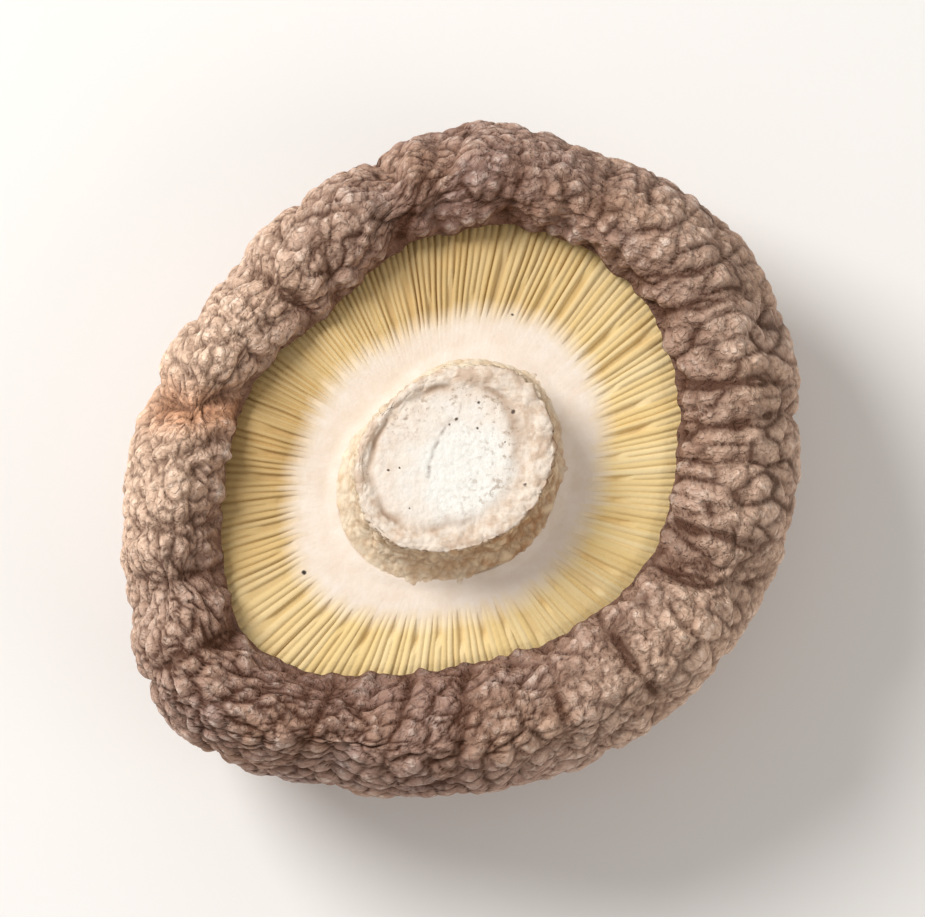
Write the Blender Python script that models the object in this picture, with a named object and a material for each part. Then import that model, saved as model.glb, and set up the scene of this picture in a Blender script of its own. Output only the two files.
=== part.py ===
"""A dried shiitake mushroom that rests on its domed cap, with its gills and its cut stem facing up.

Lengths are in millimetres until a mesh is made, and +Z is up. Outlines are read off a photo that looks
down on the gills with +X to its right, so each point is worked out in the photo's plane first and then
stood upright by its height. An azimuth turns anticlockwise from +X, seen from above.
"""

import math

import bpy
import numpy as np
from mathutils import Vector, kdtree, noise

MM = 0.001
TURN = math.tau
QUARTER_TURN = math.pi / 2

# The photo looks down 12 degrees off the cap's axis, from the side of -Y
VIEW_ELEVATION = math.radians(78)

# Moves the middle of the finished outline to the origin, x and y
CENTRING = (-0.8, -0.6)

# Radii of the cap's outline and of the opening inside its rolled rim, every 22.5 degrees
OUTLINE = (28.3, 29.4, 28.7, 27.5, 27.1, 24.8, 23.7, 24.4, 26.5, 29.0, 31.3, 28.8, 27.5, 27.3, 27.5, 28.3)
OPENING = (17.7, 18.6, 19.2, 18.8, 17.5, 15.6, 14.6, 16.2, 17.3, 19.4, 21.5, 18.8, 16.7, 16.4, 16.9, 17.5)

# Heights of the rim's crest, every 45 degrees
CREST_HEIGHTS = (22.2, 22.9, 22.5, 21.6, 22.3, 23.1, 22.6, 21.8)

# The dome is a superellipse, pressed flat where it rests, and the gills lie in a recess under the lip
WIDEST_HEIGHT = 12.5
DOME_SQUARENESS = 2.3
FOOT_PRESS = 0.8
LIP_HEIGHT = 18.0
LIP_THICKNESS = 0.9
RECESS_REACH = 1.9
RECESS_FLOOR = 13.8

# Stations along a meridian, from the foot of the dome over the rim to the middle of the recess
FOOT, WIDEST, CREST, LIP, UNDER_LIP, RECESS_CORNER, RECESS_MIDDLE = range(7)
RECESS_FLOOR_ROWS = 3
ROW_SPACING = 1.75
MOST_COLUMNS = 112
LEAST_COLUMNS = 14
FULL_RING_RADIUS = 15.5

# The cap dried into puffed plates with creases between them, broad at the crown and small at the rim
CROWN_PLATE = 8.5
RIM_PLATE = 5.2
PLATE_TRIES = 6000
CREASE_WIDTH = 1.3
CROWN_CREASE_DEPTH = 2.0
RIM_CREASE_DEPTH = 1.1
FAINTEST_CREASE = 0.45
WARP = 1.4
WARP_SIZE = 6.0
SEED = 5

# The whole cap sways a little, less near its foot, and its wrinkles end just above the lip
SWAY = 0.7
SWAY_SIZE = 13.0
FOOT_SWAY_SHARE = 0.2
FULL_SWAY_STATION = 0.5
WRINKLES_FADE = (2.5, 2.95)

# Folds that pinch the rim: azimuth in degrees, half width in degrees and depth
PINCHES = (
    (20, 4, 0.6),
    (62, 4, 0.7),
    (92, 4, 1.3),
    (104, 4, 1.5),
    (139, 5, 0.8),
    (169, 6, 1.9),
    (205, 5, 1.2),
    (250, 5, 1.1),
    (289, 4, 0.7),
    (336, 6, 1.5),
)
PINCHES_START = (0.9, 1.5)

# The gills ring the stem's base, and the lip covers their outer ends
GILL_COUNT = 84
GILL_HEIGHT = 17.0
GILL_FLOOR = 14.1
GILL_TUCK = 1.2
VALLEY_DEPTH = 1.2

# Upper side of the gills: way out from the stem, rise over the gill height and share of the valley depth
GILL_PROFILE = ((1, -0.3, 1), (0.8, 0.1, 1), (0.5, 0.3, 1), (0.25, 0.3, 0.35), (0, 0, 0))

# The stem leans as it rises from its base to its cut end: the middle of each, and radii every 45 degrees
STEM_BASE = (-0.25, -1.4)
STEM_BASE_RADII = (9.4, 10.3, 9.0, 7.4, 9.2, 10.4, 9.2, 9.2)
STEM_TOP = (0.2, -0.5)
STEM_TOP_RADII = (8.0, 8.6, 7.4, 6.9, 7.9, 8.6, 7.4, 7.3)
STEM_COLUMNS = 40
STEM_GAP = 0.35

# Its rings: height, share of the way from the base's outline to the cut's, and scale
STEM_PROFILE = (
    (14.1, 0, 0.5),
    (14.1, 0, 0.94),
    (17.0, 0, 0.94),
    (18.4, 0.55, 1),
    (20.2, 0.85, 1),
    (22.0, 1, 1),
    (23.0, 1, 1),
    (23.4, 1, 0.93),
    (22.8, 1, 0.82),
    (22.6, 1, 0.4),
)


def around(values, azimuth):
    """Reads a smooth closed curve through evenly spaced values at each azimuth."""
    values = np.asarray(values)
    place = np.asarray(azimuth) / TURN * len(values)
    first = np.floor(place).astype(int)
    part = place - first
    before, start, end, after = (values[(first + step) % len(values)] for step in (-1, 0, 1, 2))
    cubic = 3 * (start - end) + after - before
    square = 2 * before - 5 * start + 4 * end - after
    return start + part / 2 * (end - before + part * (square + part * cubic))


def stand_upright(x, y, z):
    """Undoes the photo's slanted view: what stands above the gills shows further up in it."""
    shown_rise = (np.maximum(z, WIDEST_HEIGHT) - GILL_HEIGHT) * math.cos(VIEW_ELEVATION)
    upright_y = (y - shown_rise) / math.sin(VIEW_ELEVATION)
    return np.stack(np.broadcast_arrays(x + CENTRING[0], upright_y + CENTRING[1], z), axis=-1)


def cap_surface(station, azimuth):
    """The cap's smooth form at each station and azimuth, before the plates and folds."""
    station, azimuth = np.broadcast_arrays(station, azimuth)
    outline = around(OUTLINE, azimuth)
    opening = around(OPENING, azimuth)
    crest = (outline + opening) / 2
    crest_height = around(CREST_HEIGHTS, azimuth)
    recess = opening + RECESS_REACH
    lip_bottom = LIP_HEIGHT - LIP_THICKNESS
    turn = (station - np.floor(station)) * QUARTER_TURN
    rise, run = np.sin(turn), np.cos(turn)
    ease = 2 / DOME_SQUARENESS
    stretches = [station < end for end in (WIDEST, CREST, LIP, UNDER_LIP, RECESS_CORNER)]
    radii = [
        outline * rise**ease,
        crest + (outline - crest) * run,
        crest - (crest - opening) * rise,
        opening + RECESS_REACH * (1 - run),
        recess,
    ]
    heights = [
        WIDEST_HEIGHT * (1 - run**ease),
        WIDEST_HEIGHT + (crest_height - WIDEST_HEIGHT) * rise,
        LIP_HEIGHT + (crest_height - LIP_HEIGHT) * run,
        LIP_HEIGHT - LIP_THICKNESS * rise,
        lip_bottom + (RECESS_FLOOR - lip_bottom) * (station - UNDER_LIP),
    ]
    radius = np.select(stretches, radii, recess * (RECESS_MIDDLE - station))
    height = np.select(stretches, heights, RECESS_FLOOR)
    return stand_upright(radius * np.cos(azimuth), radius * np.sin(azimuth), height)


def cap_normals(station, azimuth):
    """Outward directions of the cap's smooth form, from just off the foot's pole to the lip."""
    step = 1e-3
    station = np.clip(station, 20 * step, LIP - 2 * step)
    along = cap_surface(station + step, azimuth) - cap_surface(station - step, azimuth)
    across = cap_surface(station, azimuth + step) - cap_surface(station, azimuth - step)
    normal = np.cross(across, along)
    return normal / np.linalg.norm(normal, axis=-1, keepdims=True)


def scatter_plates():
    """Plate centres thrown at random on the smooth form, none too near another."""
    chance = np.random.default_rng(SEED)
    stations = chance.uniform(FOOT, LIP, PLATE_TRIES)
    azimuths = chance.uniform(0, TURN, PLATE_TRIES)
    spacings = np.interp(stations, (FOOT, CREST), (CROWN_PLATE, RIM_PLATE))
    centres = np.empty((0, 3))
    for place, spacing in zip(cap_surface(stations, azimuths), spacings):
        if (np.linalg.norm(centres - place, axis=1) > spacing).all():
            centres = np.vstack((centres, place))
    return centres


def crease_strength(first, second):
    """How deep the crease between two plates is, the same whichever is named first."""
    low, high = sorted((first, second))
    return FAINTEST_CREASE + (1 - FAINTEST_CREASE) * abs(noise.cell((low + 0.5, high + 0.5, SEED)))


def creases(points, centres):
    """For each point, 1 at the bottom of a crease between plates and near 0 on a plate."""
    tree = kdtree.KDTree(len(centres))
    for number, centre in enumerate(centres):
        tree.insert(centre, number)
    tree.balance()
    depths = []
    for point in points:
        bent = Vector(point) + WARP * noise.noise_vector(Vector(point) / WARP_SIZE)
        (home, home_number, home_distance), *others = tree.find_n(bent, 5)
        depth = 0
        for other, number, distance in others:
            from_border = (distance**2 - home_distance**2) / (2 * (other - home).length)
            strength = crease_strength(home_number, number)
            depth = max(depth, strength * math.exp(-from_border / CREASE_WIDTH))
        depths.append(depth)
    return np.array(depths)


def pinches(azimuth):
    """Depth of the rim's folds at each azimuth."""
    degrees = np.degrees(azimuth)
    depth = np.zeros_like(degrees)
    for middle, half_width, deepest in PINCHES:
        away = (degrees - middle + 180) % 360 - 180
        depth += deepest * np.exp(-((away / half_width) ** 2))
    return depth


def wrinkled_cap(station, azimuth, centres):
    """The cap's surface with its sway, plates and folds, pressed flat where it rests."""
    smooth = cap_surface(station, azimuth)
    wrinkled = np.interp(station, WRINKLES_FADE, (1, 0))
    pinched = np.interp(station, PINCHES_START, (0, 1))
    crease_depth = np.interp(station, (FOOT, CREST), (CROWN_CREASE_DEPTH, RIM_CREASE_DEPTH))
    sway = SWAY * np.array([noise.noise(Vector(point) / SWAY_SIZE) for point in smooth])
    sway *= np.interp(station, (FOOT, FULL_SWAY_STATION), (FOOT_SWAY_SHARE, 1))
    inward = crease_depth * creases(smooth, centres) + pinched * pinches(azimuth) - sway
    surface = smooth - (wrinkled * inward)[:, None] * cap_normals(station, azimuth)
    sunk = np.interp(station, (FOOT, WIDEST), (FOOT_PRESS, 0))
    surface[:, 2] = np.maximum(surface[:, 2] - sunk, 0)
    return surface


def even_stations(start, stop, spacing):
    """Stations that part a meridian into rows of about this spacing."""
    fine = np.linspace(start, stop, 400)
    lengths = np.linalg.norm(np.diff(cap_surface(fine, 0.0), axis=0), axis=1)
    travelled = np.concatenate(([0], np.cumsum(lengths)))
    rows = round(travelled[-1] / spacing)
    return np.interp(np.linspace(0, travelled[-1], rows + 1), travelled, fine)


def columns_at(radius):
    """Fewer columns on small rings, halved each time, so that the triangles stay even."""
    columns = MOST_COLUMNS
    while columns > LEAST_COLUMNS and radius < FULL_RING_RADIUS * columns / MOST_COLUMNS:
        columns //= 2
    return columns


def cap_rings():
    """Rings of points from the foot to the middle of the recess, each half a column round from the last."""
    centres = scatter_plates()
    stations = [
        *even_stations(FOOT, LIP, ROW_SPACING),
        *np.linspace(LIP, UNDER_LIP, 3)[1:],
        *np.linspace(RECESS_CORNER, RECESS_MIDDLE, RECESS_FLOOR_ROWS + 1),
    ]
    rings = []
    turned = 0
    for station in stations:
        is_pole = station in (FOOT, RECESS_MIDDLE)
        columns = 1 if is_pole else columns_at(np.linalg.norm(cap_surface(station, 0.0)[:2]))
        turned += TURN / columns / 2
        azimuths = (turned + np.arange(columns) * TURN / columns) % TURN
        rings.append(wrinkled_cap(np.full(columns, float(station)), azimuths, centres))
    return rings


def gill_rings():
    """Rings of points round the gill bed, with a valley at every other column of its upper side."""
    azimuths = np.arange(2 * GILL_COUNT) * TURN / (2 * GILL_COUNT)
    in_valley = np.arange(len(azimuths)) % 2
    directions = np.stack((np.cos(azimuths), np.sin(azimuths)))
    inner = np.array(STEM_BASE)[:, None] + (around(STEM_BASE_RADII, azimuths) + STEM_GAP) * directions
    outer = (around(OPENING, azimuths) + GILL_TUCK) * directions

    def ring(way_out, height):
        x, y = inner + (outer - inner) * way_out
        return stand_upright(x, y, height)

    rings = [ring(0, GILL_FLOOR), ring(1, GILL_FLOOR)]
    for way_out, rise, valley_share in GILL_PROFILE:
        rings.append(ring(way_out, GILL_HEIGHT + rise - VALLEY_DEPTH * valley_share * in_valley))
    return rings


def stem_rings():
    """Rings of points from the stem's hidden base, up its flank, over the raised ring to the cut."""
    azimuths = np.arange(STEM_COLUMNS) * TURN / STEM_COLUMNS
    directions = np.stack((np.cos(azimuths), np.sin(azimuths)))
    base, top = np.array(STEM_BASE), np.array(STEM_TOP)
    base_radii, top_radii = around(STEM_BASE_RADII, azimuths), around(STEM_TOP_RADII, azimuths)

    def ring(height, share, scale):
        radii = scale * (base_radii + (top_radii - base_radii) * share)
        x, y = (base + (top - base) * share)[:, None] + radii * directions
        return stand_upright(x, y, height)

    rings = [ring(*row) for row in STEM_PROFILE]
    lowest, highest = rings[0].mean(axis=0), rings[-1].mean(axis=0)
    return [lowest[None], *rings, highest[None]]


def band(lower, upper):
    """Triangles between two rings of vertex numbers of any lengths, where a pole is a ring of one."""
    lower_steps, upper_steps = (len(ring) if len(ring) > 1 else 0 for ring in (lower, upper))
    low = high = 0
    triangles = []
    while low < lower_steps or high < upper_steps:
        lower_corner = lower[low % len(lower)]
        upper_corner = upper[high % len(upper)]
        lower_is_behind = (low + 1) * upper_steps <= (high + 1) * lower_steps
        if low < lower_steps and (high == upper_steps or lower_is_behind):
            low += 1
            triangles.append((lower_corner, lower[low % len(lower)], upper_corner))
        else:
            high += 1
            triangles.append((lower_corner, upper[high % len(upper)], upper_corner))
    return triangles


def solid_from_rings(name, rings, material, parent, joins_up=False):
    """A closed mesh object through the rings, which ends at poles or joins up with its first ring."""
    starts = np.cumsum([0] + [len(ring) for ring in rings])
    numbered = [range(start, end) for start, end in zip(starts, starts[1:])]
    if joins_up:
        numbered.append(numbered[0])
    triangles = [corners for pair in zip(numbered, numbered[1:]) for corners in band(*pair)]
    mesh = bpy.data.meshes.new(name)
    mesh.from_pydata((np.vstack(rings) * MM).tolist(), [], triangles)
    mesh.shade_smooth()
    mesh.set_sharp_from_angle(angle=math.radians(80))
    mesh.materials.append(material)
    solid = bpy.data.objects.new(name, mesh)
    solid.parent = parent
    bpy.context.scene.collection.objects.link(solid)


def plain_material(name, colour, roughness):
    material = bpy.data.materials.new(name)
    material.use_nodes = True
    shader = material.node_tree.nodes["Principled BSDF"]
    shader.inputs["Base Color"].default_value = (*colour, 1)
    shader.inputs["Roughness"].default_value = roughness
    shader.inputs["Metallic"].default_value = 0
    return material


def main():
    # Without a seed, noise_vector() reads its noise from another place in each run
    noise.seed_set(SEED)
    for leftover in list(bpy.data.objects):
        bpy.data.objects.remove(leftover)
    mushroom = bpy.data.objects.new("mushroom", None)
    bpy.context.scene.collection.objects.link(mushroom)
    cap_skin = plain_material("cap skin", (0.27, 0.17, 0.11), 0.8)
    gill_edge = plain_material("gill edge", (0.75, 0.53, 0.26), 0.75)
    stem_flesh = plain_material("stem flesh", (0.88, 0.82, 0.68), 0.8)
    solid_from_rings("cap", cap_rings(), cap_skin, mushroom)
    solid_from_rings("gills", gill_rings(), gill_edge, mushroom, joins_up=True)
    solid_from_rings("stem", stem_rings(), stem_flesh, mushroom)


main()
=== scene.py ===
"""Looks for a dried shiitake mushroom that rests on its dome, with its gills and cut stem facing up.

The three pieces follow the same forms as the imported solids, in millimetres, with the finer wrinkles, gills
and fibres cut into them, and their meshes are made in metres. An azimuth turns anticlockwise from +X, seen
from above. Outlines are worked out in the photo's plane first, and stand_upright() undoes its slant.
"""

import math

import bpy
import numpy as np
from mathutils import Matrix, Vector, kdtree, noise


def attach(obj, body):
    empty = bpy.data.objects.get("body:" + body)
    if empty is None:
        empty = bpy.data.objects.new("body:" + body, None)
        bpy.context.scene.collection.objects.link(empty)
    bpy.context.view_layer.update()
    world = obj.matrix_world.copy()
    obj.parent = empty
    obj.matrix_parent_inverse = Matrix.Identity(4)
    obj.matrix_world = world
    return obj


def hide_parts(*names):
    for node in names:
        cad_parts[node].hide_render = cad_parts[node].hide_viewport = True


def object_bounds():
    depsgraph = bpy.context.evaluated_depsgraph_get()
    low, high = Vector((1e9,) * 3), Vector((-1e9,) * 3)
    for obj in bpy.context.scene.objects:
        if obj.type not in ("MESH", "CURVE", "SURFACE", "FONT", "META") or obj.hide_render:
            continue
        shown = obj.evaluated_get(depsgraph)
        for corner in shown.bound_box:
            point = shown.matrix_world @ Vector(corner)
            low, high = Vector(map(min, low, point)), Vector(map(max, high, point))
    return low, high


MM = 0.001
TURN = math.tau
QUARTER_TURN = math.pi / 2

# The photo looks down 12 degrees off the cap's axis, from the side of -Y
VIEW_ELEVATION = math.radians(78)
CENTRING = (-0.8, -0.6)

# The cap's smooth form, with values every 22.5 degrees, or every 45 for the crest
OUTLINE = (28.3, 29.4, 28.7, 27.5, 27.1, 24.8, 23.7, 24.4, 26.5, 29.0, 31.3, 28.8, 27.5, 27.3, 27.5, 28.3)
OPENING = (17.7, 18.6, 19.2, 18.8, 17.5, 15.6, 14.6, 16.2, 17.3, 19.4, 21.5, 18.8, 16.7, 16.4, 16.9, 17.5)
CREST_HEIGHTS = (22.2, 22.9, 22.5, 21.6, 22.3, 23.1, 22.6, 21.8)
WIDEST_HEIGHT = 12.5
DOME_SQUARENESS = 2.3
FOOT_PRESS = 0.8
LIP_HEIGHT = 18.0
LIP_THICKNESS = 0.9
RECESS_REACH = 1.9
RECESS_FLOOR = 13.8

# Stations along a meridian, from the foot of the dome over the rim to the middle of the recess
FOOT, WIDEST, CREST, LIP, UNDER_LIP, RECESS_CORNER, RECESS_MIDDLE = range(7)

# The cap's mesh: where the spacing of its points changes, and that spacing
FOOT_ZONE_END = 0.4
FOOT_SPACING = 0.42
DOME_SPACING = 0.32
RIM_SPACING = 0.23
HIDDEN_SPACING = 0.9
LIP_ROWS = 6
RECESS_ROWS = 8

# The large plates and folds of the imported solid, whose creases also get a narrow bottom here
CROWN_PLATE = 8.5
RIM_PLATE = 5.2
PLATE_TRIES = 6000
CREASE_WIDTH = 1.0
LINE_WIDTH = 0.26
LINE_DEPTH = 0.6
CROWN_CREASE_DEPTH = 2.0
RIM_CREASE_DEPTH = 1.1
FAINTEST_CREASE = 0.45
WARP = 1.4
WARP_SIZE = 6.0
SEED = 5
SWAY = 0.7
SWAY_SIZE = 13.0
FOOT_SWAY_SHARE = 0.2
FULL_SWAY_STATION = 0.5
WRINKLES_FADE = (2.5, 2.95)
PINCHES = (
    (20, 4, 0.6),
    (62, 4, 0.7),
    (92, 4, 1.3),
    (104, 4, 1.5),
    (139, 5, 0.8),
    (169, 6, 1.9),
    (205, 5, 1.2),
    (250, 5, 1.1),
    (289, 4, 0.7),
    (336, 6, 1.5),
)
PINCHES_START = (0.9, 1.5)

# The plates of the rim are worn flatter here than in the solid, where the finer wrinkles are missing
PLATE_SHARE = ((0.8, 1.6), (1, 0.35))

# Puffs and lumps scattered over the skin: how far apart at the foot and on the rim, and their seed
SCATTER_TRIES = 30000
PUFF_SPACINGS = (3.2, 2.1)
PUFF_SEED = 11
LUMP_SPACINGS = (1.8, 1.2)
LUMP_SEED = 12

# Folds that run across the rim, scattered on the skin rolled out and shortened to this share
FOLD_SPACINGS = (1.4, 1.4)
FOLD_SEED = 13
FOLD_SHORTENING = 0.28
DRUM_SHARE = 0.85

# Creases between them: wide and narrow width, depth, and how far they meander over what length
PUFF_CREASES = (0.5, 0.24, 0.75, 0.8, 1.7)
LUMP_CREASES = (0.3, 0.19, 0.34, 0.5, 1.0)
FOLD_CREASES = (0.4, 0.24, 0.7, 0.8, 2.0)

# How strongly each shows from station to station, and the deepest that they dig together
PUFFS_WINDOW = ((0.3, 1.0, 2.4, 3.0), (0.5, 1, 1, 0.6))
LUMPS_WINDOW = ((0.4, 1.1, 2.4, 3.0), (0.3, 1, 1, 0.8))
FOLDS_WINDOW = ((0.4, 1.1, 3.0, 3.2), (0.0, 1, 1, 0))
DEEPEST_WRINKLE = 1.2

# Soft lumps along the lip: height and size
LIP_LUMPS = ((0.5, 2.4), (0.35, 1.0))
LIP_LUMPS_WINDOW = ((2.3, 2.8, 3.4, 4.0), (0, 1, 1, 0))

# What is left of the puffs and lumps where the rim folds, and of the folds where it puffs
LUMPS_AMONG_FOLDS = 0.5
FOLDS_AMONG_LUMPS = 0.15

# How much the rim folds, and does not puff, every 45 degrees
FOLDED = (1.0, 0.8, 0.35, 0.25, 0.3, 0.0, 0.15, 0.6)

# Creases that cross the rim: azimuth at the lip and further out in degrees, the stations there, and depth
RIM_CREASES = (
    (-29, -24, 2.95, 1.3, 1.0),
    (-24, -21, 2.6, 1.4, 0.7),
    (-17.5, -16, 2.85, 1.7, 0.9),
    (-2, -1, 2.7, 2.1, 0.6),
    (5, 7, 2.95, 1.5, 1.1),
    (18, 12, 2.95, 1.5, 1.0),
    (35, 28, 2.9, 1.6, 0.8),
    (44, 36, 2.9, 1.9, 0.8),
    (58, 61, 2.3, 1.5, 0.7),
    (77, 76, 2.9, 2.1, 0.8),
    (102, 94, 2.9, 1.5, 1.1),
    (125, 122, 2.9, 2.0, 0.7),
    (135, 136, 2.9, 1.7, 0.9),
    (167, 169, 2.95, 1.3, 0.7),
    (177, 182, 2.8, 1.5, 0.6),
    (196, 193, 2.9, 1.6, 0.7),
    (207, 201, 2.9, 1.5, 0.8),
    (220, 216, 2.9, 1.6, 0.8),
    (242, 244, 2.9, 1.4, 0.7),
    (259.5, 258, 2.9, 1.6, 0.7),
    (273.5, 271, 2.9, 1.4, 0.7),
    (296, 292, 2.9, 1.6, 0.7),
    (312, 310, 2.9, 1.4, 0.9),
)

# Their wide part and narrow bottom: width and share of the depth, and how far they wander over what length
RIM_CREASE_WIDTHS = (0.9, 0.34)
RIM_CREASE_SHARES = (0.6, 0.7)
RIM_CREASE_WANDER = (0.7, 2.6)

# The fine relief ends under the lip, and the skin is set in a little to stay inside the solid's box
FINE_FADE = ((3.0, 3.6), (1, 0))
INSET = 0.1

# Where the skin's colours change from station to station, among them a darker band along the lip, partly
# painted shade, and painted light on the sunlit side
CRINKLED_WINDOW = ((0.4, 1.2), (0.5, 1))
INNER_FACE_WINDOW = ((1.9, 2.7), (0, 1))
LIP_WINDOW = ((2.6, 2.9, 3.0), (0, 0.45, 1))
SUNLIT_WINDOW = ((0.5, 1.0, 2.0, 2.6), (0.4, 1, 1, 0.6))

# A tan patch where the rim is pinched: its middle and half width in degrees, and where it shows
SCORCH_MIDDLE = 170
SCORCH_HALF_WIDTH = 5
SCORCH_WINDOW = ((0.8, 1.3), (0, 1))

# How much painted light lightens the skin where the lamp falls on it, every 45 degrees
PAINTED_SUNLIGHT = (0.85, 0.55, 0.0, 0.95, 1.45, 0.1, 0.05, 0.85)

# Gills: thin blades with gaps between them, whose inner ends sink into the pale flare round the stem
GILL_COUNT = 196
GILL_HEIGHT = 17.0
GILL_TUCK = 1.2
GILL_ROWS = 48
GILL_FLOOR = 15.0
GILL_INNER_SHARE = 0.93
GAP_DEPTH = 0.75
SHALLOWEST_GAP = 0.3

# How far the blades stand above the gill height on the way out, and their own range of that
GILL_CREST = ((0, 0.1, 0.25, 0.5, 0.8, 1), (0.5, 0.25, 0.3, 0.3, 0.1, -0.3))
BLADE_LIFTS = (-0.12, 0.06)

# Points across a blade and its gap: place in the blade's share of the turn, and share of the gap's depth
BLADE_COLUMNS = ((-0.5, 1), (-0.38, 0.7), (-0.26, 0.08), (0, 0), (0.26, 0.08), (0.38, 0.7))

# Every fourth blade is a short one, which starts this far out
SHORT_BLADE_EVERY = 4
SHORT_BLADE_STARTS = (0.35, 0.8)

# How far neighbouring blades sway together and each by itself, as shares of their spacing
BUNDLE_SWAY = 0.3
OWN_SWAY = 0.035

# How open the gaps are, and how much painted shade darkens the blades where the rim shades them, every 45
# degrees
GAPS_OPEN = (0.18, 0.28, 0.5, 0.5, 0.4, 0.27, 0.17, 0.2)
BLADES_SHADED = (0.0, 0.35, 0.9, 0.6, 1.2, 0.4, 0.1, 0.15)

# How far out the pale flare reaches, every 22.5 degrees, and how much that differs from blade to blade
PALE_RADII = (12.0, 12.5, 12.9, 12.0, 10.8, 10.1, 10.4, 11.1, 12.2, 13.8, 15.4, 14.3, 13.1, 12.8, 12.3, 12.1)
PALE_SHIFT = 0.25

# Stem: a short leaning stub with a raised ring round its cut, whose dish lies a little off its middle
STEM_BASE = (-0.25, -1.4)
STEM_BASE_RADII = (9.4, 10.3, 9.0, 7.4, 9.2, 10.4, 9.2, 9.2)
STEM_TOP = (0.2, -0.5)
STEM_TOP_RADII = (8.0, 8.6, 7.4, 6.9, 7.9, 8.6, 7.4, 7.3)
STEM_SPACING = 0.14
DISH_SHIFT = (-0.95, 0.25)

# Its meridian: height, share of the way from the base's outline to the cut's, and scale
STEM_PROFILE = (
    (15.6, 0, 0.98),
    (16.6, 0, 1.0),
    (17.2, 0, 0.99),
    (17.6, 0.12, 0.96),
    (18.4, 0.45, 0.96),
    (19.6, 0.75, 0.97),
    (20.8, 0.9, 0.98),
    (22.0, 1, 1.0),
    (22.7, 1, 1.0),
    (23.05, 1, 0.97),
    (23.2, 1, 0.92),
    (23.2, 1, 0.86),
    (23.08, 1, 0.8),
    (22.95, 1, 0.73),
    (22.9, 1, 0.64),
    (22.85, 1, 0.48),
    (22.85, 1, 0.25),
    (22.85, 1, 0.0),
)

# Rows of that meridian where the flank, the ring and the cut start and end
FLANK_START, FLANK_END, RING_TOP, RING_END, CUT_START = 2, 8, 9, 12, 14
CUT_MIDDLE = len(STEM_PROFILE) - 1

# Relief on the flank, the ring and the cut: height of lumps, depth of shreds and height of grain
FLANK_RELIEF = (0.28, 0.4, 0.12)
RING_RELIEF = (0.2, 0.15, 0.06)
CUT_RELIEF = (0.05, 0.04, 0.03)

# Height and size of the ring's swells, and depth of the seam inside it
RING_SWELL = (0.3, 3.0)
SEAM_DEPTH = 0.2

# Where the cut is whitest in the photo's plane, and how far out it starts and stops turning cream
WHITEST = (0.9, -1.6)
CREAM_FROM, CREAM_TO = 1.5, 6.0

# A crack across the cut, its half width and depth, and dark specks: x, y and radius in the photo's plane
CRACK = ((0.0, 2.5), (-1.0, 1.3), (-1.4, 0.1), (-1.8, -1.9))
CRACK_WIDTH = 0.1
CRACK_DEPTH = 0.06
CUT_SPECKS = (
    (4.8, 3.2, 0.22),
    (-0.2, 2.2, 0.14),
    (0.35, 2.6, 0.16),
    (2.1, 3.9, 0.16),
    (2.0, 1.9, 0.12),
    (-5.0, -1.4, 0.14),
    (-4.1, -1.2, 0.12),
    (5.7, -2.6, 0.2),
    (4.2, 0.8, 0.1),
    (-3.3, -4.4, 0.1),
)
FLARE_SPECKS = ((-11.7, -9.5, 0.24), (4.8, 11.0, 0.18))
FLARE_HEIGHT = 17.3

# How brown the flank is, partly its own ochre and partly painted shade on the side away from the light,
# every 45 degrees
FLANK_BROWNED_AND_SHADED = (0.5, 0.15, 0.05, 0.1, 0.2, 0.3, 0.5, 0.9)

# How brown the line between the flank and the ring is, every 45 degrees
EDGE_BROWNED = (0.9, 1.0, 0.6, 0.5, 0.4, 0.7, 1.0, 1.0)

# Grit that gathers where the ring drops into the cut: how much, every 45 degrees
GRIT_ROUND = (0.8, 1.0, 0.7, 0.8, 0.25, 0.1, 0.2, 0.7)


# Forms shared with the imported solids


def around(values, azimuth):
    """Reads a smooth closed curve through evenly spaced values at each azimuth."""
    values = np.asarray(values)
    place = np.asarray(azimuth) / TURN * len(values)
    first = np.floor(place).astype(int)
    part = place - first
    before, start, end, after = (values[(first + step) % len(values)] for step in (-1, 0, 1, 2))
    cubic = 3 * (start - end) + after - before
    square = 2 * before - 5 * start + 4 * end - after
    return start + part / 2 * (end - before + part * (square + part * cubic))


def stand_upright(x, y, z):
    """Undoes the photo's slanted view: what stands above the gills shows further up in it."""
    shown_rise = (np.maximum(z, WIDEST_HEIGHT) - GILL_HEIGHT) * math.cos(VIEW_ELEVATION)
    upright_y = (y - shown_rise) / math.sin(VIEW_ELEVATION)
    return np.stack(np.broadcast_arrays(x + CENTRING[0], upright_y + CENTRING[1], z), axis=-1)


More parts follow.
